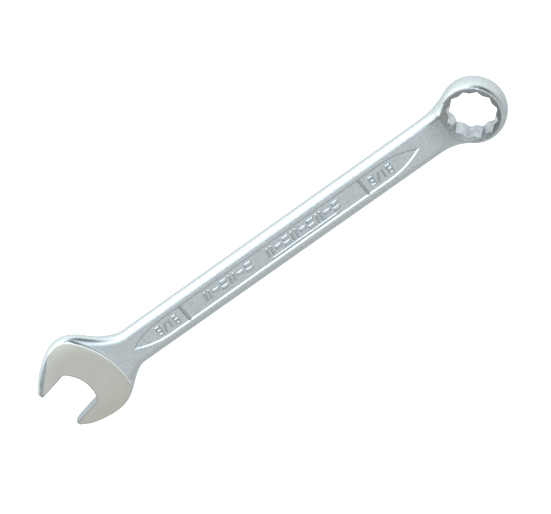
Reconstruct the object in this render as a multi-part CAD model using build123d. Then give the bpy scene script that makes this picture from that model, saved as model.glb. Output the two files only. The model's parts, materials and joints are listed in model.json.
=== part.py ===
from build123d import *
from math import atan2, cos, degrees, hypot, radians, sin, sqrt, tan
import os

# A 9/16 in combination wrench: an open end turned 12.5 degrees, a shank and a raised twelve-point ring.
# X runs along the shank from the open end to the ring, Y across it and Z up out of the front face.
# The real tool is one forging. It is modelled face to face as zones: the open head with its neck, the
# shank, the ring head with its neck, and the raised marks that stand on the floors of the panels.
# While it is built, the origin is at the bottom of the throat on the shank's mid-plane.

# Driving dimensions, in millimetres and degrees
ACROSS_FLATS = 14.29          # 9/16 in
JAW_PLAY = 0.13               # jaw gap over the nominal size
SOCKET_PLAY = 0.10            # ring socket over the nominal size
RING_CENTRE_X = 155.7
RING_CENTRE_Z = 2.68

# Shank
SHANK_WIDTH = 12.9
SHANK_THICKNESS = 5.2
SHANK_EDGE_RADIUS = 2.3
SHANK_START = 20.5
SHANK_END = 139.0

# Open head
HEAD_THICKNESS = 5.6
HEAD_EDGE_RADIUS = 1.3
JAW_ANGLE = 12.5
FLAT_START = 2.05             # where the flats begin, measured from the origin along the jaw gap
THROAT_DEPTH = 0.5            # how far the throat's arc reaches behind the origin
LONG_JAW_END = (13.9, 9.0)    # along the gap, across the gap
SHORT_JAW_END = (13.6, -8.8)
JAW_NOSE_RADIUS = 1.4
LONG_NOSE_HEADING = (-1, -1.1)
SHORT_NOSE_HEADING = (1, -0.3)
UPPER_THROAT_RADIUS = 0.6
LOWER_THROAT_RADIUS = 1.4
SHOULDER_CENTRE = (-15.7, -4.35)
SHOULDER_RADIUS = 28.4
SHOULDER_SLOPE = 45.0

# Outer curves of the open head, from the neck to the nose of each jaw
LONG_JAW_CURVE = [(17.0, 7.4), (12.5, 10.2), (7.0, 15.3), (1.5, 17.05), (-5.0, 15.0), (-10.5, 11.0)]
SHORT_JAW_CURVE = [(17.3, -7.3), (12.0, -11.0), (7.0, -14.1), (1.0, -15.0), (-5.0, -14.2), (-8.5, -13.1)]

# Ring head, about an axis that leans back towards the shank
RING_TILT = 15.0
RING_RADIUS = 10.8
RING_FACE_RADIUS = 9.9
RING_HEIGHT = 8.2
CHAMFER_RADIUS = 9.2
SOCKET_WALL_HEIGHT = 7.84
SOCKET_POINTS = 12
BEND_LENGTH = 10.0             # the shank lifts to the ring's tilt over this length
NECK_FILLET = 24.0            # concave curve from the shank's side to the ring, seen from above
NECK_END = -5.5               # the neck's last section is inside the ring, this far from its centre
NECK_STEPS = 4
NECK_FULL_THICKNESS = 7.4

# Recessed panels, one on each face of the shank
PANEL_START = 21.2
PANEL_END = 134.0
PANEL_Y = -0.15               # the front panel sits this far off the shank's middle
PANEL_HALF_WIDTH = 2.82       # on the floor
PANEL_TIP_LENGTH = 12.5
PANEL_DEPTH = 0.32
PANEL_WALL_SLOPE = 57.0       # from upright
DIVIDER_WIDTH = 1.1           # at the floor
DIVIDERS = (41.7, 113.3)

# Raised marks on the panel floors
MARK_HEIGHT = 0.3
MARK_BEVEL = 0.26
FIGURE_HEIGHT = 3.4
FIGURE_WIDTH = 1.9
FIGURE_PITCH = 2.45
FIGURE_PLACES = (-1.5, -0.5, 0.3, 1.3)
STROKE = 0.66
SIZE_MARK_X = (34.9, 120.4)   # middles of the two size marks
LOZENGE_LEAN = 12.0
LOZENGE_WIDTH = 2.5
LOZENGE_HEIGHT = 3.1
BAR_WIDTH = 0.8
PAIR_HEIGHT = 1.3
ROW_Y = 0.25
SHORT_ROW = (51.5, 68.0, 6)   # first middle, last middle, count
LONG_ROW = (76.6, 102.6, 9)
UNDERLINE = (76.0, 101.5)
UNDERLINE_Y = -2.2
UNDERLINE_WIDTH = 0.6

SHANK_TOP = SHANK_THICKNESS / 2
HEAD_TOP = HEAD_THICKNESS / 2
PANEL_FLOOR = SHANK_TOP - PANEL_DEPTH
JAW_GAP = ACROSS_FLATS + JAW_PLAY
SOCKET_FLATS = ACROSS_FLATS + SOCKET_PLAY
FAR = 60.0

RING_FRAME = Pos(RING_CENTRE_X, 0, RING_CENTRE_Z) * Rot(0, -RING_TILT, 0)


def in_jaw(along, across):
    """A point on the mid-plane from its place along the jaw gap, out of the mouth, and across it."""
    turn = radians(JAW_ANGLE)
    return (-along * cos(turn) - across * sin(turn), -along * sin(turn) + across * cos(turn))


def head_outline():
    """Plan of the open head and its neck, closed straight across the mouth."""
    half = SHANK_WIDTH / 2
    long_nose = in_jaw(*LONG_JAW_END)
    short_nose = in_jaw(*SHORT_JAW_END)
    long_side = Spline((SHANK_START, half), *LONG_JAW_CURVE, long_nose, tangents=[(-1, 0), LONG_NOSE_HEADING])
    mouth = Line(long_nose, short_nose)
    short_side = Spline(
        short_nose, *reversed(SHORT_JAW_CURVE), (SHANK_START, -half), tangents=[SHORT_NOSE_HEADING, (1, 0)]
    )
    neck = Line((SHANK_START, -half), (SHANK_START, half))
    face = make_face(Wire([long_side, mouth, short_side, neck]))
    noses = face.vertices().filter_by(lambda v: min(abs(v.X - long_nose[0]), abs(v.X - short_nose[0])) < 0.01)
    return fillet(noses, JAW_NOSE_RADIUS)


def jaw_gap():
    """Plan of the gap between the jaws: two flats and the arc of the throat."""
    half = JAW_GAP / 2
    top = in_jaw(FLAT_START, half)
    bottom = in_jaw(FLAT_START, -half)
    throat = ThreePointArc(top, in_jaw(-THROAT_DEPTH, 0), bottom)
    sides = Polyline(bottom, in_jaw(FAR, -half), in_jaw(FAR, half), top)
    gap = make_face(Wire([throat, *sides.edges()]))
    gap = fillet(gap.vertices().sort_by_distance((*top, 0))[0], UPPER_THROAT_RADIUS)
    return fillet(gap.vertices().sort_by_distance((*bottom, 0))[0], LOWER_THROAT_RADIUS)


def shoulder_cut(side):
    """What is taken off one face behind the ground face: a step down to the shank, on an arc."""
    drop = HEAD_TOP - SHANK_TOP
    foot = SHOULDER_RADIUS + drop / tan(radians(SHOULDER_SLOPE))
    high = SHOULDER_RADIUS - 1.0 / tan(radians(SHOULDER_SLOPE))
    step = [(high, 0, HEAD_TOP + 1), (foot, 0, SHANK_TOP), (FAR, 0, SHANK_TOP), (FAR, 0, HEAD_TOP + 1)]
    profile = Polyline(*step, close=True)
    cutter = Pos(*SHOULDER_CENTRE, 0) * revolve(make_face(profile), Axis.Z)
    return cutter if side > 0 else mirror(cutter, Plane.XY)


def open_end_head():
    blank = extrude(head_outline(), HEAD_TOP, both=True)
    mouth_x, mouth_y = in_jaw((LONG_JAW_END[0] + SHORT_JAW_END[0]) / 2, 0)

    def is_rim(edge):
        middle = edge.center()
        on_face = abs(abs(middle.Z) - HEAD_TOP) < 0.01
        at_mouth = hypot(middle.X - mouth_x, middle.Y - mouth_y) < 2
        at_seam = middle.X > SHANK_START - 0.1
        return on_face and not at_mouth and not at_seam

    blank = fillet(blank.edges().filter_by(is_rim), HEAD_EDGE_RADIUS)
    blank -= shoulder_cut(1)
    blank -= shoulder_cut(-1)
    return blank - extrude(jaw_gap(), 2 * HEAD_TOP, both=True)


def panel_outline():
    """Plan of the recess: straight sides with a pointed arch at each end."""
    start = PANEL_START + PANEL_TIP_LENGTH
    end = PANEL_END - PANEL_TIP_LENGTH
    half = PANEL_HALF_WIDTH
    outline = [
        Line((start, half), (end, half)),
        TangentArc((end, half), (PANEL_END, 0), tangent=(1, 0)),
        TangentArc((end, -half), (PANEL_END, 0), tangent=(1, 0)),
        Line((end, -half), (start, -half)),
        TangentArc((start, -half), (PANEL_START, 0), tangent=(-1, 0)),
        TangentArc((start, half), (PANEL_START, 0), tangent=(-1, 0)),
    ]
    return Pos(0, PANEL_Y) * make_face(Wire(outline))


def on_both_faces(front):
    """The front feature and its copy on the back face, turned over about the shank's axis."""
    return [front, front.rotate(Axis.X, 180)]


def shank():
    section = RectangleRounded(SHANK_WIDTH, SHANK_THICKNESS, SHANK_EDGE_RADIUS)
    bar = extrude(Plane.YZ.offset(SHANK_START) * section, SHANK_END - SHANK_START)
    outline = panel_outline()
    for x in DIVIDERS:
        outline -= Pos(x, 0) * Rectangle(DIVIDER_WIDTH, SHANK_WIDTH)
    for pocket in outline.faces():
        recess = extrude(Pos(0, 0, PANEL_FLOOR) * pocket, PANEL_DEPTH + 0.1, taper=-PANEL_WALL_SLOPE)
        for cutter in on_both_faces(recess):
            bar -= cutter
    return bar


def socket():
    """The twelve-point hole: two hexagons turned against each other, with a chamfer at each mouth."""
    radius = SOCKET_FLATS / 2 / cos(radians(30))
    hole = Sketch()
    for turn in (0, 30):
        hole += Rot(0, 0, turn + 15) * RegularPolygon(radius, 6)
    prism = extrude(hole, RING_HEIGHT, both=True)
    mouth = SOCKET_WALL_HEIGHT / 2
    slope = (CHAMFER_RADIUS - radius) / (RING_HEIGHT / 2 - mouth)
    wide = CHAMFER_RADIUS + 2 * slope
    for side in (1, -1):
        low = side * (mouth - 1)
        high = side * (RING_HEIGHT / 2 + 2)
        profile = Polyline((0, 0, low), (radius - slope, 0, low), (wide, 0, high), (0, 0, high), close=True)
        prism += revolve(make_face(profile), Axis.Z)
    return prism


def ring_barrel():
    """The ring before its hole is broached: flat faces and a bulging wall."""
    half = RING_HEIGHT / 2
    wall = ThreePointArc((RING_FACE_RADIUS, 0, -half), (RING_RADIUS, 0, 0), (RING_FACE_RADIUS, 0, half))
    rest = Polyline((RING_FACE_RADIUS, 0, half), (0, 0, half), (0, 0, -half), (RING_FACE_RADIUS, 0, -half))
    return revolve(make_face(Wire([wall, *rest.edges()])), Axis.Z)


def centre_line(s):
    """Place and lean of the neck's middle, at s from the ring's centre along the bent centre line."""
    lean = radians(RING_TILT)
    radius = BEND_LENGTH / lean
    rise_in_bend = radius * (1 - cos(lean))
    bend_end = -(RING_CENTRE_Z - rise_in_bend) / sin(lean)
    if s > bend_end:
        return RING_CENTRE_X + s * cos(lean), RING_CENTRE_Z + s * sin(lean), lean
    start_x = RING_CENTRE_X + bend_end * cos(lean) - radius * sin(lean)
    turned = max(0.0, (s - bend_end) / radius + lean)
    straight = min(0.0, s - bend_end + BEND_LENGTH)
    return start_x + straight + radius * sin(turned), radius * (1 - cos(turned)), turned


def neck_half_width(s):
    """The straight side of the shank, then an arc that is tangent to it and to the ring."""
    half = SHANK_WIDTH / 2
    middle = sqrt((RING_RADIUS + NECK_FILLET) ** 2 - (half + NECK_FILLET) ** 2)
    into = max(0.0, s + middle)
    return half + NECK_FILLET - sqrt(NECK_FILLET ** 2 - into ** 2)


def ring_neck():
    """The shank's end, which lifts, spreads and thickens into the ring."""
    first = SHANK_END - RING_CENTRE_X - 0.1
    sections = []
    for step in range(NECK_STEPS + 1):
        s = first + (NECK_END - first) * step / NECK_STEPS
        x, z, lean = centre_line(s)
        if step == 0:
            x, z, lean = SHANK_END, 0, 0
        grown = (step / NECK_STEPS) ** 2
        thickness = SHANK_THICKNESS + (NECK_FULL_THICKNESS - SHANK_THICKNESS) * grown
        place = Plane(origin=(x, 0, z), x_dir=(0, 1, 0), z_dir=(cos(lean), 0, sin(lean)))
        sections.append(place * RectangleRounded(2 * neck_half_width(s), thickness, SHANK_EDGE_RADIUS))
    return loft(sections)


def ring_head():
    head = RING_FRAME * ring_barrel() + ring_neck()
    return head - RING_FRAME * socket()


def stroke(*points):
    """One raised stroke with round ends and joints, through points in the plane of the mark."""
    line = Sketch()
    for (x0, y0), (x1, y1) in zip(points, points[1:]):
        slot = SlotCenterToCenter(hypot(x1 - x0, y1 - y0), STROKE)
        turn = degrees(atan2(y1 - y0, x1 - x0))
        line += Pos((x0 + x1) / 2, (y0 + y1) / 2) * Rot(0, 0, turn) * slot
    return line


def size_mark():
    """The figures 9/16 in plain square strokes, centred on the origin and read along X."""
    w = (FIGURE_WIDTH - STROKE) / 2
    h = (FIGURE_HEIGHT - STROKE) / 2
    nine = [(w, 0), (-w, 0), (-w, h), (w, h), (w, -h), (-w, -h)]
    six = [(-x, -y) for x, y in nine]
    one = [(0, h), (0, -h)]
    slash = [(-w, -h), (w, h)]
    figures = []
    for place, shape in zip(FIGURE_PLACES, (nine, slash, one, six)):
        figures.append(Pos(place * FIGURE_PITCH, 0) * stroke(*shape))
    return figures


def lozenge(width, height):
    """A slanted bar centred on the origin."""
    lean = height / 2 * tan(radians(LOZENGE_LEAN))
    half = width / 2
    h = height / 2
    corners = [(-half - lean, -h), (half - lean, -h), (half + lean, h), (-half + lean, h)]
    return make_face(Polyline(*corners, close=True))


def pattern_mark(index):
    """The centre rows repeat three plain shapes: a pair of bars, a small lozenge and a stacked pair."""
    if index % 3 == 0:
        bar = lozenge(BAR_WIDTH, LOZENGE_HEIGHT)
        return [Pos(-BAR_WIDTH, 0) * bar, Pos(BAR_WIDTH, 0) * bar]
    small = lozenge(LOZENGE_WIDTH, PAIR_HEIGHT)
    if index % 3 == 1:
        return [small]
    up = (LOZENGE_HEIGHT - PAIR_HEIGHT) / 2
    along = up * tan(radians(LOZENGE_LEAN))
    return [Pos(along, up) * small, Pos(-along, -up) * small]


def raised(sketches):
    """Stand flat marks on the panel floor, with their top edges bevelled."""
    solids = []
    for sketch in sketches:
        for solid in extrude(Pos(0, 0, PANEL_FLOOR) * sketch, MARK_HEIGHT).solids():
            top = solid.faces().sort_by(Axis.Z)[-1]
            solids.append(chamfer(top.edges(), MARK_BEVEL))
    return Compound(children=solids)


def spread(first, last, count):
    return [first + (last - first) * i / (count - 1) for i in range(count)]


def size_marks():
    return raised([Pos(x, PANEL_Y) * figure for x in SIZE_MARK_X for figure in size_mark()])


def centre_marks():
    bars = []
    for row in (SHORT_ROW, LONG_ROW):
        for i, x in enumerate(spread(*row)):
            bars += [Pos(x, ROW_Y) * shape for shape in pattern_mark(i)]
    start, end = UNDERLINE
    bars.append(Pos((start + end) / 2, UNDERLINE_Y) * Rectangle(end - start, UNDERLINE_WIDTH))
    return raised(bars)


def build_nodes():
    nodes = {"open_end_head": open_end_head(), "shank": shank(), "ring_head": ring_head()}
    for name, marks in (("size_marks", size_marks()), ("centre_marks", centre_marks())):
        front, back = on_both_faces(marks)
        nodes[name + "_front"] = front
        nodes[name + "_back"] = back
    return nodes


nodes = build_nodes()
box = Compound(children=[Compound(shape.solids()) for shape in nodes.values()]).bounding_box()
SHIFT = Vector(-box.center().X, -box.center().Y, -box.min.Z)
os.makedirs("parts", exist_ok=True)
for name, shape in nodes.items():
    nodes[name] = Compound(shape.solids()).moved(Location(SHIFT))
    export_step(nodes[name], f"parts/{name}.step")
print("moved by", [round(v, 4) for v in SHIFT], "size", [round(v, 3) for v in box.size])
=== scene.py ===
import json
import math

import bmesh
import bpy
import numpy as np
from mathutils import Matrix, Quaternion, Vector
from mathutils.geometry import delaunay_2d_cdt


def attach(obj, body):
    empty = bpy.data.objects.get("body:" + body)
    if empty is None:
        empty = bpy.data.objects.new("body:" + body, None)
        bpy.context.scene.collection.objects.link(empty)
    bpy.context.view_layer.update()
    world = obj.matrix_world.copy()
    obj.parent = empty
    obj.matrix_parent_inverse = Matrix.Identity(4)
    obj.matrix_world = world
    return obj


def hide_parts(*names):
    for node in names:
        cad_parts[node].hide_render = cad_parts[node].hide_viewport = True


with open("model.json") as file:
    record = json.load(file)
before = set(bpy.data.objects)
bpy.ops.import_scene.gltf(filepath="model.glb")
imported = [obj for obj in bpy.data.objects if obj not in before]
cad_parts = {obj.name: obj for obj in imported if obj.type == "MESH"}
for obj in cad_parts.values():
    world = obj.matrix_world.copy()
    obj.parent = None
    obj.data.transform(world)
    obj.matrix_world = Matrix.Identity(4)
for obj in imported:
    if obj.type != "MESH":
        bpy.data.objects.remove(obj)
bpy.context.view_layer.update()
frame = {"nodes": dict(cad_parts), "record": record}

MM = 0.001
mounts = {m["name"]: m for m in frame["record"]["mounts"]}

# The forging's own sizes, in millimetres and degrees, as the CAD has them.
# Places are told from the bottom of the throat, on the shank's mid-plane, with X towards the ring.
ACROSS_FLATS = 14.29
JAW_GAP = ACROSS_FLATS + 0.13
SOCKET_FLATS = ACROSS_FLATS + 0.10
RING_CENTRE = (155.7, 0.0, 2.68)
RING_TILT = 15.0
JAW_ANGLE = 12.5
ORIGIN = Vector(mounts["ring_socket"]["pos_m"]) - Vector(RING_CENTRE) * MM

SHANK_HALF_WIDTH = 6.45
SHANK_TOP = 2.6
SHANK_EDGE = 2.3
SHANK_START = 20.5
SHANK_END = 139.0

# Open head
GROUND_HEIGHT = 2.8           # ground faces, from the mid-plane
FORGED_HEIGHT = 3.25          # the rounded rim would crown here if it weren't ground
RIM_EDGE = 2.35
RIM_WALL = 0.3
GROUND_ROLL = 0.40            # the grinding falls away by this much towards the rim
GROUND_ROLL_WIDTH = 6.0
GROUND_BLEND = 0.32           # heights closer than this flow into each other where the face meets the rim
WORN_EDGE = 3.8               # the outer rim of the long jaw is rounder and lower towards its nose
WORN_HEIGHT = 2.95
WORN_ALONG = (2.0, 9.0)       # how far beyond the throat, and how far towards the long jaw, the wear comes in
WORN_ACROSS = (0.0, 8.0)
NECKING_START = 9.0           # from here, almost to SHANK_START, the head's rim turns into the shank's edge
GAP_EDGE = 0.28               # width of the rough edge between a ground face and the jaw gap, coloured darker partly as painted shade
LONG_JAW_END = (13.9, 9.0)    # along the gap, across the gap
SHORT_JAW_END = (13.6, -8.8)
NOSE_RADIUS = 1.4
NOSE_SLOPE = (-1.0, -1.1)     # the long jaw's side arrives at its nose in this direction
SHORT_NOSE_SLOPE = (1.0, -0.3)  # and the short jaw's side leaves its nose in this one
FLAT_START = 2.05
THROAT_DEPTH = 0.5
THROAT_ROUNDS = (0.6, 1.4)    # corner radii between the throat and the flats, long jaw first
LONG_JAW_CURVE = [(17.0, 7.4), (12.5, 10.2), (7.0, 15.3), (1.5, 17.05), (-5.0, 15.0), (-10.5, 11.0)]
SHORT_JAW_CURVE = [(17.3, -7.3), (12.0, -11.0), (7.0, -14.1), (1.0, -15.0), (-5.0, -14.2), (-8.5, -13.1)]
SHOULDER_CENTRE = (-15.7, -4.35)
SHOULDER_RADIUS = 28.4
SHOULDER_DROP = 0.42
SHOULDER_WIDTH = 0.8
SHOULDER_RUN = 8.0            # behind the shoulder the drop is made good over this length
SHOULDER_SHALLOW = 0.4        # share of the drop that is left on the short jaw's side
SHOULDER_DEEPENS = (-8.0, 12.0)
SHOULDER_SWEEP = (-0.75, 1.3)   # from and to these angles, in radians, round SHOULDER_CENTRE
SHOULDER_SAMPLES = 400
FORGED_RUN = 1.2              # ahead of the shoulder the forged crown rises over this width
HIGHLIGHT_LIP = 0.3                     # width of the rubbed edge of the ground face, along the shoulder, which carries a painted highlight
RIM_LINES = (0.04, 0.13, 0.28, 0.48, 0.68, 0.85, 0.98, 1.1, 1.22, 1.36, 1.52, 1.72, 2.1, 2.5, 3.1)
SHOULDER_LINES = (-HIGHLIGHT_LIP, 0.12, 0.28, 0.5, 0.8, 1.2)

# Ring head
RING_RADIUS = 10.76
RING_HALF_HEIGHT = 4.1
RING_EDGE = 1.45
RING_WALL = 0.1
CHAMFER_RADIUS = 9.2
SOCKET_HALF_WALL = 3.92
NECK_FILLET = 24.0
NECK_CROWN = 4.45             # above the bent centre line, where the neck meets the ring
NECK_BELLY = 3.7              # below it
NECK_EDGE = 2.9
NECK_TOP = -9.2               # the neck is fully grown here, measured from the ring's centre
RING_START = -4.5             # and here it has become the ring
NECK_CLIMB = 1.25             # above 1 the neck thickens late
BEND_LENGTH = 10.0
SOCKET_POINTS = 12
POINT_TURN = 180 / SOCKET_POINTS
RING_LINES = (0.02, 0.08, 0.18, 0.34, 0.55, 0.8, 1.1, 1.45, 1.9, 2.5)
MOUTH_SAMPLES = 180
MOUTH_HALVINGS = 30

# Mesh. RIM_LINES, SHOULDER_LINES and RING_LINES above are the depths of the extra rows of points.
SAMPLE = 0.35                 # spacing of points along outlines
CURVED_SAMPLE = 0.3           # along the jaw gap and the shoulder
WALL_SAMPLE = 0.45            # along the socket's walls
SEAM_SAMPLE = 0.8             # where a head meets the shank
CORNER_SAMPLE = 0.05          # while a corner is being rounded
CORNER_LOOK = 25              # points from a corner, at CORNER_SAMPLE, at which its two directions are read
CORNER_POINTS = 24
FILL = 0.75                   # spacing of points inside them
ROW_RATIO = 0.866             # row spacing of a grid of even triangles
CHUNK = 400                   # points compared with the whole grid at a time
MERGE = 1e-5                  # points closer than this are one
SEAM_TOLERANCE = 1e-3
NUDGE = 0.05                  # a step off an outline that shows which side is the inside
INWARD_SHARE = 0.985          # a row's point stays if it is this share of its depth from the outline,
INWARD_SLACK = 0.003          # give or take this
SEAM_CLEARANCE = 0.15         # extra rows of points stay this far from a seam
CREASE_CLEARANCE = 0.12       # and this far from a crease
GAP_CLEARANCE = 0.08          # and this far from the rough edge of the jaw gap
RIM_CLEARANCE = 0.15          # rows along the shoulder end this far from the rim
GAP_ROW_CLEARANCE = 0.1       # the row along the jaw gap ends this far from it
SHOULDER_END = 0.03           # and the shoulder's own line this far
HEAD_CLEARANCE = 0.3          # the even grid stays this far from every row, on each head
RING_CLEARANCE = 0.22
CREASE = 26.0                 # edges that fold by more than this many degrees stay crisp

# Camera: it looks down at the front face from beyond the ring end
CAMERA_AZIMUTH = 56.1
CAMERA_ELEVATION = 66.44
CAMERA_ROLL = 176.47
CAMERA_DISTANCE = 0.6681
CAMERA_LENS = 135.94
CAMERA_SENSOR = 36.0
CAMERA_NEAR = 0.01
CAMERA_TARGET = Vector((0.0007, -0.0042, 0.0039))

# Room: a light everywhere, and patches that draw it towards their own light, each over those before it.
# A patch has the azimuth and elevation of its middle, the cosines where it fades in and where it is full,
# and its light.
ROOM_LIGHT = (0.97, 0.97, 0.98)
ROOM = (
    (100, 60, 0.67, 0.84, (1.45, 1.60, 1.75)),
    (100, 25, 0.28, 0.80, (3.1, 3.35, 3.6)),
    (38, 30, 0.76, 0.93, (0.11, 0.12, 0.12)),
    (340, 42, 0.95, 0.985, (0.55, 0.58, 0.58)),
    (176, 10, 0.85, 0.94, (0.26, 0.30, 0.32)),
    (170, 44, 0.94, 0.985, (0.17, 0.19, 0.20)),
)
FLOOR_NEAR = 0.70             # the floor glows more on the side of the bright bank
FLOOR_FAR = 1.75
FLOOR_TURN = 0.03             # it changes between this far to each side of the middle, in metres
FLOOR_HALF = 3.0
FLOOR_GREY = (0.25, 0.25, 0.25, 1)
FLOOR_GLOW = (0.97, 1, 1, 1)
FLOOR_ROUGHNESS = 0.9


# ---------------------------------------------------------------- curves in the plane

def smooth_curve(points, first, last, step=SAMPLE):
    """Cubic spline through points with the given end directions, as closely spaced points."""
    p = np.array(points, float)
    t = np.concatenate([[0], np.cumsum(np.hypot(*np.diff(p, axis=0).T))])
    h = np.diff(t)
    n = len(p)
    a = np.zeros((n, n))
    b = np.zeros((n, 2))
    a[0, 0] = a[-1, -1] = 1
    b[0] = np.array(first) / np.hypot(*first)
    b[-1] = np.array(last) / np.hypot(*last)
    for i in range(1, n - 1):
        a[i, i - 1:i + 2] = 1 / h[i - 1], 2 * (1 / h[i - 1] + 1 / h[i]), 1 / h[i]
        b[i] = 3 * ((p[i] - p[i - 1]) / h[i - 1] ** 2 + (p[i + 1] - p[i]) / h[i] ** 2)
    slope = np.linalg.solve(a, b)
    out = []
    for i in range(n - 1):
        u = np.linspace(0, 1, max(3, int(h[i] / step) * 2))[:, None]
        out.append((2 * u ** 3 - 3 * u ** 2 + 1) * p[i] + (u ** 3 - 2 * u ** 2 + u) * h[i] * slope[i]
                   + (3 * u ** 2 - 2 * u ** 3) * p[i + 1] + (u ** 3 - u ** 2) * h[i] * slope[i + 1])
    return np.concatenate(out)


def on_circle(centre, radius, angle):
    """Points at the given angles, in radians; the radius may differ from point to point."""
    return np.column_stack([centre[0] + radius * np.cos(angle), centre[1] + radius * np.sin(angle)])


def arc(centre, radius, start, end, step=0.1):
    count = max(3, int(abs(end - start) * radius / step))
    return on_circle(centre, radius, np.linspace(start, end, count))


def even(points, step=SAMPLE):
    """The same line with evenly spaced points, both ends kept."""
    p = np.array(points, float)
    keep = np.concatenate([[True], np.hypot(*np.diff(p, axis=0).T) > 1e-9])
    p = p[keep]
    t = np.concatenate([[0], np.cumsum(np.hypot(*np.diff(p, axis=0).T))])
    at = np.linspace(0, t[-1], max(2, int(round(t[-1] / step)) + 1))
    return np.column_stack([np.interp(at, t, p[:, 0]), np.interp(at, t, p[:, 1])])


def rounded(before, corner, after, radius):
    """Joins two lines that meet at corner by a nearly round arc, and returns the whole line."""
    corner = np.array(corner, float)
    a = even(before, CORNER_SAMPLE)
    b = even(after, CORNER_SAMPLE)
    back = a[max(0, len(a) - CORNER_LOOK)] - corner
    ahead = b[min(len(b) - 1, CORNER_LOOK)] - corner
    back /= np.hypot(*back)
    ahead /= np.hypot(*ahead)
    turn = math.pi - math.acos(np.clip(back @ ahead, -1, 1))
    reach = radius * math.tan(turn / 2)
    a = a[np.hypot(*(a - corner).T) > reach]
    b = b[np.hypot(*(b - corner).T) > reach]
    handle = 4 / 3 * math.tan(turn / 4) / math.tan(turn / 2)
    p0, p3 = a[-1], b[0]
    p1 = p0 + (corner - p0) * handle
    p2 = p3 + (corner - p3) * handle
    u = np.linspace(0, 1, CORNER_POINTS)[:, None]
    bend = (1 - u) ** 3 * p0 + 3 * (1 - u) ** 2 * u * p1 + 3 * (1 - u) * u ** 2 * p2 + u ** 3 * p3
    return np.concatenate([a[:-1], bend, b[1:]])


def distance(points, line):
    """Distance of each point from a polyline."""
    a = line[:-1]
    d = np.diff(line, axis=0)
    best = np.full(len(points), np.inf)
    for start, step in zip(a, d):
        length = max(step @ step, 1e-12)
        rel = points - start
        t = np.clip(rel @ step / length, 0, 1)
        gap = rel - t[:, None] * step
        best = np.minimum(best, (gap ** 2).sum(1))
    return np.sqrt(best)


def inside(points, loop):
    """Which points lie inside a closed loop."""
    x, y = points[:, 0], points[:, 1]
    hit = np.zeros(len(points), bool)
    for (x0, y0), (x1, y1) in zip(loop, np.roll(loop, -1, axis=0)):
        if y0 == y1:
            continue
        cross = (y0 > y) != (y1 > y)
        hit ^= cross & (x < (x1 - x0) * (y - y0) / (y1 - y0) + x0)
    return hit


def smoothstep(low, high, x):
    t = np.clip((x - low) / (high - low), 0, 1)
    return t * t * (3 - 2 * t)


def softer_minimum(a, b, blend):
    """The lower of two heights, with the crease between them rounded off."""
    near = np.clip(1 - np.abs(a - b) / blend, 0, 1)
    return np.minimum(a, b) - near * near * blend / 4


def edge_rise(depth, radius):
    """Quarter-round rise of a rounded edge: 0 on the outline, 1 from radius inwards."""
    q = 1 - np.clip(depth / radius, 0, 1)
    return np.sqrt(1 - q * q)


# ---------------------------------------------------------------- a forging from its plan and its height

def inward(line, loop, depth):
    """The line moved into the loop by depth, with the points that come too near the line again left out."""
    along = np.gradient(line, axis=0)
    normal = np.column_stack([-along[:, 1], along[:, 0]])
    normal /= np.hypot(*normal.T)[:, None]
    moved = line + normal * depth
    middle = len(line) // 2
    if not inside(line[middle:middle + 1] + normal[middle] * NUDGE, loop)[0]:
        moved = line - normal * depth
    keep = inside(moved, loop) & (distance(moved, line) > depth * INWARD_SHARE - INWARD_SLACK)
    return moved, keep


def plan_mesh(loops, creases, extra, spacing, clear_of):
    """Triangulates the region inside loops[0] and outside the others. Creases are lines that stay as edges,
    and extra are more points. An even grid fills the rest, and keeps clear_of away from all of them."""
    points = []
    edges = []

    def add(line, closed):
        first = len(points)
        points.extend(map(tuple, line))
        count = len(line)
        edges.extend((first + i, first + i + 1) for i in range(count - 1))
        if closed:
            edges.append((first + count - 1, first))

    for loop in loops:
        add(loop, True)
    for line in creases:
        add(line, False)
    everything = np.concatenate([*loops, *creases, *extra])
    low, high = loops[0].min(0), loops[0].max(0)
    rows = []
    y = low[1]
    odd = 0
    while y < high[1]:
        x = np.arange(low[0] + odd * spacing / 2, high[0], spacing)
        rows.append(np.column_stack([x, np.full(len(x), y)]))
        y += spacing * ROW_RATIO
        odd = 1 - odd
    grid = np.concatenate(rows)
    keep = inside(grid, loops[0])
    for loop in loops[1:]:
        keep &= ~inside(grid, loop)
    grid = grid[keep]
    near = np.full(len(grid), np.inf)
    for chunk in np.array_split(everything, max(1, len(everything) // CHUNK)):
        gap = np.hypot(grid[:, None, 0] - chunk[None, :, 0], grid[:, None, 1] - chunk[None, :, 1]).min(1)
        near = np.minimum(near, gap)
    grid = grid[near > clear_of]
    points.extend(map(tuple, np.concatenate([*extra, grid])))
    out = delaunay_2d_cdt([Vector(p) for p in points], edges, [], 0, MERGE)
    where = np.array([tuple(v) for v in out[0]])
    faces = [f for f in out[2] if len(f) == 3]
    middle = np.array([where[list(f)].mean(0) for f in faces])
    keep = inside(middle, loops[0])
    for loop in loops[1:]:
        keep &= ~inside(middle, loop)
    faces = [f for f, k in zip(faces, keep) if k]
    return where, faces


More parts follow.
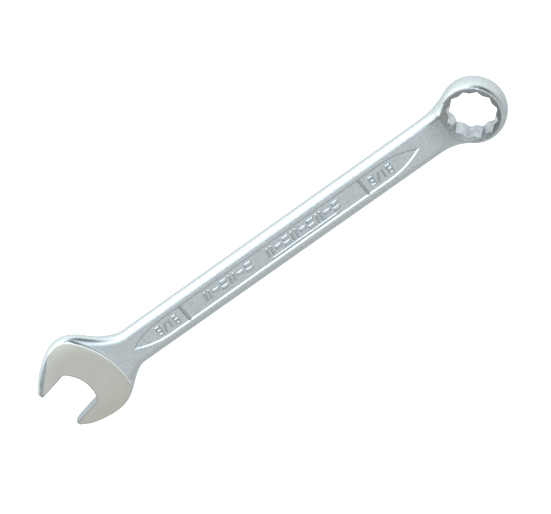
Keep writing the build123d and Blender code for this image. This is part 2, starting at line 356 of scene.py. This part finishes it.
def forging(name, where, faces, height, depth, place, finish):
    """A closed mesh: the plan raised to height(points) above the mid-plane and depth(points) below it, with
    walls between. place puts its points where they belong, and finish(middles, is_wall) gives each face its
    material's number."""
    count = len(where)
    top = np.column_stack([where, height(where)])
    bottom = np.column_stack([where, -depth(where)])
    verts = place(np.concatenate([top, bottom]))
    mesh_faces = []
    border = set()
    for f in faces:
        mesh_faces.append(tuple(f))
        mesh_faces.append(tuple(count + i for i in reversed(f)))
        for a, b in ((f[0], f[1]), (f[1], f[2]), (f[2], f[0])):
            if (b, a) in border:
                border.discard((b, a))
            else:
                border.add((a, b))
    walls = len(mesh_faces)
    for a, b in sorted(border):
        mesh_faces.append((b, a, count + a, count + b))
    mesh = bpy.data.meshes.new(name)
    mesh.from_pydata([tuple(ORIGIN + Vector(v) * MM) for v in verts], [], mesh_faces)
    plan = np.array([where[[i % count for i in f]].mean(0) for f in mesh_faces])
    is_wall = np.arange(len(mesh_faces)) >= walls
    mesh.polygons.foreach_set("material_index", finish(plan, is_wall).astype(np.int32))
    work = bmesh.new()
    work.from_mesh(mesh)
    bmesh.ops.delete(work, geom=[v for v in work.verts if not v.link_faces], context="VERTS")
    bmesh.ops.recalc_face_normals(work, faces=work.faces)
    work.to_mesh(mesh)
    work.free()
    mesh.shade_smooth()
    mesh.set_sharp_from_angle(angle=math.radians(CREASE))
    piece = bpy.data.objects.new(name, mesh)
    bpy.context.scene.collection.objects.link(piece)
    return piece


# Numbers of the materials on each head, in the order in which PIECES, below, lists them
FORGED, GROUND, POLISHED_HIGHLIGHT, GAP_RIM = range(4)
MOUTH, SOCKET = 1, 2


# ---------------------------------------------------------------- open head

def in_jaw(along, across):
    """A point told along the jaw gap, from the throat to the noses, and across it, towards the long jaw."""
    turn = math.radians(JAW_ANGLE)
    x = -along * math.cos(turn) - across * math.sin(turn)
    y = -along * math.sin(turn) + across * math.cos(turn)
    return x, y


def head_outline():
    """The outer sides of the long and the short jaw, the edge of the gap, and the closed loop around them."""
    half = JAW_GAP / 2
    long_nose = np.array(in_jaw(*LONG_JAW_END))
    short_nose = np.array(in_jaw(*SHORT_JAW_END))
    mouth = short_nose - long_nose

    def on_mouth(across):
        share = (across - LONG_JAW_END[1]) / (SHORT_JAW_END[1] - LONG_JAW_END[1])
        return long_nose + mouth * share

    long_points = [(SHANK_START, SHANK_HALF_WIDTH), *LONG_JAW_CURVE, long_nose]
    long_side = smooth_curve(long_points, (-1, 0), NOSE_SLOPE)
    long_rim = rounded(long_side, long_nose, np.array([long_nose, on_mouth(half)]), NOSE_RADIUS)
    short_points = [short_nose, *reversed(SHORT_JAW_CURVE), (SHANK_START, -SHANK_HALF_WIDTH)]
    short_side = smooth_curve(short_points, SHORT_NOSE_SLOPE, (1, 0))
    short_rim = rounded(np.array([on_mouth(-half), short_nose]), short_nose, short_side, NOSE_RADIUS)

    upper = np.array(in_jaw(FLAT_START, half))
    lower = np.array(in_jaw(FLAT_START, -half))
    rise = FLAT_START + THROAT_DEPTH
    radius = (half ** 2 + rise ** 2) / (2 * rise)
    swing = math.asin(half / radius)
    facing = math.radians(JAW_ANGLE)
    throat = arc(in_jaw(radius - THROAT_DEPTH, 0), radius, facing + swing, facing - swing)
    gap = rounded(np.array([on_mouth(half), upper]), upper, throat, THROAT_ROUNDS[0])
    gap = rounded(gap, lower, np.array([lower, on_mouth(-half)]), THROAT_ROUNDS[1])
    gap = even(gap, CURVED_SAMPLE)

    rims = [even(long_rim), even(short_rim)]
    seam = even([(SHANK_START, -SHANK_HALF_WIDTH), (SHANK_START, SHANK_HALF_WIDTH)], SEAM_SAMPLE)
    loop = np.concatenate([seam[:-1], rims[0][:-1], gap[:-1], rims[1][:-1]])
    return rims, gap, loop


def open_head():
    rims, gap, loop = head_outline()
    shoulder_centre = np.array(SHOULDER_CENTRE)

    def from_rim(p):
        return np.minimum(distance(p, rims[0]), distance(p, rims[1]))

    def past_shoulder(p):
        return np.hypot(p[:, 0] - SHOULDER_CENTRE[0], p[:, 1] - SHOULDER_CENTRE[1]) - SHOULDER_RADIUS

    def layers(p):
        """Heights of the forged surface and of the ground face, and how far past the shoulder points are."""
        x, y = p[:, 0], p[:, 1]
        depth = from_rim(p)
        out = past_shoulder(p)
        neck = smoothstep(NECKING_START, SHANK_START - 1, x)
        worn = smoothstep(*WORN_ALONG, -x) * smoothstep(*WORN_ACROSS, y)
        edge = RIM_EDGE + (WORN_EDGE - RIM_EDGE) * worn
        forged = FORGED_HEIGHT + (WORN_HEIGHT - FORGED_HEIGHT) * worn
        edge = edge + (SHANK_EDGE - edge) * neck
        wall = RIM_WALL + (SHANK_TOP - SHANK_EDGE - RIM_WALL) * neck
        deep = SHOULDER_DROP * (SHOULDER_SHALLOW + (1 - SHOULDER_SHALLOW) * smoothstep(*SHOULDER_DEEPENS, y))
        valley = GROUND_HEIGHT - deep
        fall = 1 - (1 - np.clip(out / SHOULDER_WIDTH, 0, 1)) ** 2
        recovery = (SHANK_TOP - valley) * smoothstep(SHOULDER_WIDTH, SHOULDER_RUN, out)
        behind = GROUND_HEIGHT - deep * fall + recovery
        behind = np.where(x > SHANK_START - SEAM_TOLERANCE, SHANK_TOP, behind)
        ahead = GROUND_HEIGHT + (forged - GROUND_HEIGHT) * np.clip(-out / FORGED_RUN, 0, 1)
        crown = np.where(out > 0, behind, ahead)
        raised = wall + (crown - wall) * edge_rise(depth, edge)
        ground = GROUND_HEIGHT - GROUND_ROLL * (1 - np.clip(depth / GROUND_ROLL_WIDTH, 0, 1)) ** 2
        return raised, ground, out

    def height(p):
        raised, ground, out = layers(p)
        return np.where(out > 0, raised, softer_minimum(raised, ground, GROUND_BLEND))

    extra = []
    for line in rims:
        for depth in RIM_LINES:
            moved, keep = inward(line, loop, depth)
            keep &= distance(moved, gap) > GAP_EDGE + GAP_CLEARANCE
            keep &= np.abs(past_shoulder(moved)) > CREASE_CLEARANCE
            keep &= moved[:, 0] < SHANK_START - SEAM_CLEARANCE
            extra.append(moved[keep])
    moved, keep = inward(gap, loop, GAP_EDGE)
    extra.append(moved[keep & (from_rim(moved) > GAP_ROW_CLEARANCE)])
    sweep = np.linspace(*SHOULDER_SWEEP, SHOULDER_SAMPLES)
    shoulder = on_circle(SHOULDER_CENTRE, SHOULDER_RADIUS, sweep)
    shoulder = shoulder[inside(shoulder, loop)]
    shoulder = even(shoulder[from_rim(shoulder) > SHOULDER_END], CURVED_SAMPLE)
    for reach in SHOULDER_LINES:
        line = shoulder_centre + (shoulder - shoulder_centre) * (1 + reach / SHOULDER_RADIUS)
        extra.append(line[inside(line, loop) & (from_rim(line) > RIM_CLEARANCE)])
    where, faces = plan_mesh([loop], [shoulder], extra, FILL, HEAD_CLEARANCE)

    def finish(p, is_wall):
        raised, ground, out = layers(p)
        on_face = (out < 0) & (raised > ground) & ~is_wall
        # The band along the shoulder takes the brighter material, a painted highlight.
        kind = np.where(on_face & (out > -HIGHLIGHT_LIP), POLISHED_HIGHLIGHT, np.where(on_face, GROUND, FORGED))
        return np.where(~is_wall & (distance(p, gap) < GAP_EDGE), GAP_RIM, kind)

    return forging("open_end_forging", where, faces, height, height, lambda v: v, finish)


# ---------------------------------------------------------------- ring head

def bend():
    """The bend in the centre line between the shank and the tilted ring: its angle and radius, where it ends,
    measured along the tilted line from the ring's centre, and the X at which it starts."""
    lean = math.radians(RING_TILT)
    radius = BEND_LENGTH / lean
    rise = radius * (1 - math.cos(lean))
    bend_end = -(RING_CENTRE[2] - rise) / math.sin(lean)
    start_x = RING_CENTRE[0] + bend_end * math.cos(lean) - radius * math.sin(lean)
    return lean, radius, bend_end, start_x


def bent(v):
    """Points given straight, from the ring's centre back along the shank, moved onto the bent centre line."""
    lean, radius, bend_end, start_x = bend()
    s = v[:, 0]
    turned = np.clip((s - bend_end) / radius + lean, 0, lean)
    straight = np.minimum(0, s - bend_end + BEND_LENGTH)
    past = np.maximum(0, s - bend_end)
    x = start_x + straight + radius * np.sin(turned) + past * math.cos(lean)
    z = radius * (1 - np.cos(turned)) + past * math.sin(lean)
    return np.column_stack([x - v[:, 2] * np.sin(turned), v[:, 1], z + v[:, 2] * np.cos(turned)])


def neck_start():
    """Where the shank ends, measured along the bent centre line from the ring's centre."""
    lean, radius, bend_end, start_x = bend()
    return bend_end - BEND_LENGTH - (start_x - SHANK_END)


def ring_outline(first):
    """The outer side of the neck and the ring, and the closed loop that the seam makes of it."""
    half = SHANK_HALF_WIDTH
    back = math.sqrt((RING_RADIUS + NECK_FILLET) ** 2 - (half + NECK_FILLET) ** 2)
    touch = math.atan2(half + NECK_FILLET, -back)
    sweep = arc((-back, half + NECK_FILLET), NECK_FILLET, -math.pi / 2, touch - math.pi)
    around = arc((0, 0), RING_RADIUS, touch, -touch)
    side = np.concatenate([[(first, half)], sweep])
    rim = even(np.concatenate([side, around[1:-1], (side * (1, -1))[::-1]]))
    seam = even([(first, -half), (first, half)], SEAM_SAMPLE)
    return rim, np.concatenate([seam[:-1], rim[:-1]])


def socket_outline(tip, notch):
    """The star of the socket, its points at tip and the corners between them at notch from the middle."""
    corners = []
    for i in range(2 * SOCKET_POINTS):
        a = math.radians(POINT_TURN * (i + 1))
        r = tip if i % 2 == 0 else notch
        corners.append((r * math.cos(a), r * math.sin(a)))
    sides = [even(pair, WALL_SAMPLE)[:-1] for pair in zip(corners, corners[1:] + corners[:1])]
    return np.concatenate(sides)


def ring_head():
    first = neck_start()
    rim, loop = ring_outline(first)
    tip = SOCKET_FLATS / 2 / math.cos(math.radians(2 * POINT_TURN))
    notch = SOCKET_FLATS / 2 / math.cos(math.radians(POINT_TURN))
    star = socket_outline(tip, notch)
    slope = (RING_HALF_HEIGHT - SOCKET_HALF_WALL) / (CHAMFER_RADIUS - tip)

    def outer(p, neck):
        s = p[:, 0]
        depth = distance(p, rim)
        ring = smoothstep(NECK_TOP, RING_START, s)
        climb = np.clip((s - first) / (NECK_TOP - first), 0, 1)
        crown = SHANK_TOP + (neck - SHANK_TOP) * climb ** NECK_CLIMB
        crown = crown + (RING_HALF_HEIGHT - crown) * ring
        grown = smoothstep(first, NECK_TOP, s)
        edge = SHANK_EDGE + (NECK_EDGE - SHANK_EDGE) * grown
        edge = edge + (RING_EDGE - edge) * ring
        wall = SHANK_TOP - SHANK_EDGE + (RING_WALL - SHANK_TOP + SHANK_EDGE) * grown
        return wall + (crown - wall) * edge_rise(depth, edge)

    def cone(p):
        return SOCKET_HALF_WALL + (np.hypot(*p.T) - tip) * slope

    def height(p):
        return np.minimum(outer(p, NECK_CROWN), cone(p))

    def belly(p):
        return np.minimum(outer(p, NECK_BELLY), cone(p))

    # The edge of the mouth, where the cone comes out through the top, found by halving in every direction
    angle = np.linspace(0, 2 * math.pi, MOUTH_SAMPLES, endpoint=False)
    low = np.full(len(angle), tip)
    high = np.full(len(angle), RING_RADIUS)
    for _ in range(MOUTH_HALVINGS):
        mid = (low + high) / 2
        p = on_circle((0, 0), mid, angle)
        above = cone(p) > outer(p, NECK_CROWN)
        high = np.where(above, mid, high)
        low = np.where(above, low, mid)
    mouth = on_circle((0, 0), low, angle)
    mouth = np.concatenate([mouth, mouth[:1]])

    extra = []
    for depth in RING_LINES:
        moved, keep = inward(rim, loop, depth)
        keep &= distance(moved, mouth) > CREASE_CLEARANCE
        keep &= np.hypot(*moved.T) > CHAMFER_RADIUS
        keep &= moved[:, 0] > first + SEAM_CLEARANCE
        extra.append(moved[keep])
    where, faces = plan_mesh([loop, star], [mouth[:-1]], extra, FILL, RING_CLEARANCE)

    def finish(p, is_wall):
        in_mouth = (cone(p) < outer(p, NECK_CROWN)) & ~is_wall
        in_socket = is_wall & (np.hypot(*p.T) < CHAMFER_RADIUS)
        return np.where(in_socket, SOCKET, np.where(in_mouth, MOUTH, FORGED))

    return forging("ring_forging", where, faces, height, belly, bent, finish)


# ---------------------------------------------------------------- camera, light and floor

def direction(azimuth, elevation):
    a = math.radians(azimuth)
    e = math.radians(elevation)
    return Vector((math.cos(a) * math.cos(e), math.sin(a) * math.cos(e), math.sin(e)))


def make_camera():
    data = bpy.data.cameras.new("camera")
    data.lens = CAMERA_LENS
    data.sensor_width = CAMERA_SENSOR
    data.clip_start = CAMERA_NEAR
    camera = bpy.data.objects.new("camera", data)
    bpy.context.scene.collection.objects.link(camera)
    back = direction(CAMERA_AZIMUTH, CAMERA_ELEVATION)
    right = Vector((0, 0, 1)).cross(back).normalized()
    right.rotate(Quaternion(back, math.radians(CAMERA_ROLL)))
    up = back.cross(right)
    turned = Matrix((right, up, back)).transposed().to_4x4()
    camera.matrix_world = Matrix.Translation(CAMERA_TARGET + back * CAMERA_DISTANCE) @ turned
    bpy.context.scene.camera = camera


def colour_socket(sockets, name):
    """The Mix node has one socket of each name for each kind of data; this is the one for colours."""
    return next(s for s in sockets if s.name == name and s.type == "RGBA")


def make_floor():
    mesh = bpy.data.meshes.new("floor")
    corners = [(x * FLOOR_HALF, y * FLOOR_HALF, 0) for x, y in ((-1, -1), (1, -1), (1, 1), (-1, 1))]
    mesh.from_pydata(corners, [], [(0, 1, 2, 3)])
    floor = bpy.data.objects.new("floor", mesh)
    bpy.context.scene.collection.objects.link(floor)
    material = bpy.data.materials.new("pale_floor")
    material.use_nodes = True
    tree = material.node_tree
    shader = tree.nodes["Principled BSDF"]
    shader.inputs["Base Color"].default_value = FLOOR_GREY
    shader.inputs["Roughness"].default_value = FLOOR_ROUGHNESS
    shader.inputs["Emission Color"].default_value = FLOOR_GLOW
    place = tree.nodes.new("ShaderNodeSeparateXYZ")
    tree.links.new(tree.nodes.new("ShaderNodeTexCoord").outputs["Object"], place.inputs["Vector"])
    glow = tree.nodes.new("ShaderNodeMapRange")
    tree.links.new(place.outputs["Y"], glow.inputs["Value"])
    glow.inputs["From Min"].default_value = -FLOOR_TURN
    glow.inputs["From Max"].default_value = FLOOR_TURN
    glow.inputs["To Min"].default_value = FLOOR_NEAR
    glow.inputs["To Max"].default_value = FLOOR_FAR
    tree.links.new(glow.outputs["Result"], shader.inputs["Emission Strength"])
    mesh.materials.append(material)


def make_world():
    """A pale room with a soft bright bank and darker corners, each a smooth patch about a direction."""
    world = bpy.data.worlds.new("studio")
    world.use_nodes = True
    tree = world.node_tree
    where = tree.nodes.new("ShaderNodeTexCoord").outputs["Generated"]
    background = tree.nodes["Background"]
    light = None
    for azimuth, elevation, fade, full, colour in ROOM:
        cosine = tree.nodes.new("ShaderNodeVectorMath")
        cosine.operation = "DOT_PRODUCT"
        tree.links.new(where, cosine.inputs[0])
        cosine.inputs[1].default_value = direction(azimuth, elevation)
        share = tree.nodes.new("ShaderNodeMapRange")
        share.interpolation_type = "SMOOTHSTEP"
        tree.links.new(cosine.outputs["Value"], share.inputs["Value"])
        share.inputs["From Min"].default_value = fade
        share.inputs["From Max"].default_value = full
        mix = tree.nodes.new("ShaderNodeMix")
        mix.data_type = "RGBA"
        tree.links.new(share.outputs["Result"], mix.inputs["Factor"])
        colour_socket(mix.inputs, "A").default_value = (*ROOM_LIGHT, 1)
        if light:
            tree.links.new(light, colour_socket(mix.inputs, "A"))
        colour_socket(mix.inputs, "B").default_value = (*colour, 1)
        light = colour_socket(mix.outputs, "Result")
    tree.links.new(light, background.inputs["Color"])
    bpy.context.scene.world = world


# ---------------------------------------------------------------- materials

EDGE_TINT = (0.62, 0.632, 0.645, 1)   # how much a grazing reflection keeps
NOISE_LOW = 0.3                       # a noise stays mostly between these
NOISE_HIGH = 0.7
GRIND_ANGLE = 38                      # direction of the lines on the ground faces


class Finish:
    """A metal whose colour, roughness and surface come from noise in the object's own coordinates."""

    def __init__(self, name):
        self.material = bpy.data.materials.new(name)
        self.material.use_nodes = True
        self.tree = self.material.node_tree
        self.shader = self.tree.nodes["Principled BSDF"]
        self.shader.inputs["Metallic"].default_value = 1.0
        self.shader.inputs["Specular Tint"].default_value = EDGE_TINT
        self.where = self.tree.nodes.new("ShaderNodeTexCoord").outputs["Object"]
        self.surface = None

    def noise(self, size, detail, stretch=(1, 1, 1), turn=(0, 0, 0)):
        """Noise with features of the given size in millimetres, drawn out by stretch, turned by degrees."""
        mapping = self.tree.nodes.new("ShaderNodeMapping")
        mapping.inputs["Rotation"].default_value = [math.radians(a) for a in turn]
        mapping.inputs["Scale"].default_value = [1 / k for k in stretch]
        self.tree.links.new(self.where, mapping.inputs["Vector"])
        noise = self.tree.nodes.new("ShaderNodeTexNoise")
        noise.inputs["Scale"].default_value = 1 / (size * MM)
        noise.inputs["Detail"].default_value = detail
        self.tree.links.new(mapping.outputs["Vector"], noise.inputs["Vector"])
        return noise.outputs["Fac"]

    def between(self, source, low, high):
        """Spreads a noise over low to high."""
        spread = self.tree.nodes.new("ShaderNodeMapRange")
        self.tree.links.new(source, spread.inputs["Value"])
        spread.inputs["From Min"].default_value = NOISE_LOW
        spread.inputs["From Max"].default_value = NOISE_HIGH
        spread.inputs["To Min"].default_value = low
        spread.inputs["To Max"].default_value = high
        return spread.outputs["Result"]

    def colour(self, source, low, high):
        mix = self.tree.nodes.new("ShaderNodeMix")
        mix.data_type = "RGBA"
        self.tree.links.new(self.between(source, 0, 1), mix.inputs["Factor"])
        colour_socket(mix.inputs, "A").default_value = (*low, 1)
        colour_socket(mix.inputs, "B").default_value = (*high, 1)
        self.tree.links.new(colour_socket(mix.outputs, "Result"), self.shader.inputs["Base Color"])

    def roughness(self, source, low, high):
        self.tree.links.new(self.between(source, low, high), self.shader.inputs["Roughness"])

    def relief(self, source, height):
        """Adds bumps, height in millimetres."""
        bump = self.tree.nodes.new("ShaderNodeBump")
        bump.inputs["Distance"].default_value = height * MM
        bump.inputs["Strength"].default_value = 1.0
        self.tree.links.new(source, bump.inputs["Height"])
        if self.surface:
            self.tree.links.new(self.surface, bump.inputs["Normal"])
        self.surface = bump.outputs["Normal"]
        self.tree.links.new(self.surface, self.shader.inputs["Normal"])


def satin_chrome():
    """Chrome over a tumbled forging: coarse grain, faint clouds and a slow waviness."""
    finish = Finish("satin_chrome")
    finish.colour(finish.noise(0.42, 2), (0.352, 0.382, 0.382), (0.470, 0.509, 0.509))
    finish.roughness(finish.noise(1.6, 4), 0.31, 0.40)
    finish.relief(finish.noise(5, 1), 0.012)
    finish.relief(finish.noise(0.5, 3), 0.03)
    return finish.material


def ground_chrome():
    """Chrome over ground faces: smooth, with cloudy colour and the faintest lines across the head."""
    finish = Finish("ground_chrome")
    finish.colour(finish.noise(7, 3), (0.43, 0.433, 0.38), (0.458, 0.461, 0.41))
    finish.roughness(finish.noise(0.3, 3, (14, 1, 1), (0, 0, GRIND_ANGLE)), 0.28, 0.34)
    finish.relief(finish.noise(6, 1), 0.016)
    finish.relief(finish.noise(0.12, 3, (20, 1, 1), (0, 0, GRIND_ANGLE)), 0.0006)
    return finish.material


def polished_highlight_chrome():
    """The rubbed edge of a ground face: a real polish in its lower roughness, and a painted highlight in its
    much brighter colour.
    """
    finish = Finish("polished_highlight_chrome")
    finish.colour(finish.noise(1.5, 3), (0.62, 0.64, 0.64), (0.80, 0.82, 0.81))
    finish.roughness(finish.noise(0.8, 3), 0.22, 0.36)
    finish.relief(finish.noise(0.4, 3), 0.004)
    return finish.material


def turned_and_shaded_chrome():
    """The cone at each mouth of the socket and the rough edge of the jaw gap: uneven turned metal, its darker
    colour partly painted shade at these inner edges.
    """
    finish = Finish("turned_and_shaded_chrome")
    finish.colour(finish.noise(0.5, 3), (0.18, 0.197, 0.19), (0.31, 0.333, 0.322))
    finish.roughness(finish.noise(0.6, 3), 0.26, 0.42)
    finish.relief(finish.noise(0.4, 3), 0.03)
    return finish.material


def broached_chrome():
    """The walls of the socket, with broaching lines along the hole."""
    finish = Finish("broached_chrome")
    finish.colour(finish.noise(2.5, 3), (0.34, 0.362, 0.375), (0.52, 0.55, 0.565))
    finish.roughness(finish.noise(0.6, 3), 0.18, 0.3)
    finish.relief(finish.noise(0.3, 3, (1, 1, 16), (0, RING_TILT, 0)), 0.012)
    return finish.material


def dress(piece, *materials):
    """Gives the piece these materials; its faces keep their numbers when there are several."""
    slots = [polygon.material_index for polygon in piece.data.polygons]
    piece.data.materials.clear()
    for material in materials:
        piece.data.materials.append(material)
    if len(materials) > 1:
        piece.data.polygons.foreach_set("material_index", slots)


# ---------------------------------------------------------------- the scene

make_camera()
make_world()
make_floor()
bpy.context.scene.view_settings.view_transform = "Standard"

satin = satin_chrome()
ground = ground_chrome()
polished_highlight = polished_highlight_chrome()
# The darker material of the mouths and the gap's edge: turned metal, its darkness partly painted shade.
turned = turned_and_shaded_chrome()
broached = broached_chrome()

PIECES = (
    (open_head, "open_end_head", "ground_chrome", (satin, ground, polished_highlight, turned)),
    (ring_head, "ring_head", "satin_chrome", (satin, turned, broached)),
)
for make, node, slot, finishes in PIECES:
    piece = make()
    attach(piece, "root")
    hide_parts(node)
    dress(piece, *finishes)
for node in frame["nodes"].values():
    dress(node, satin)
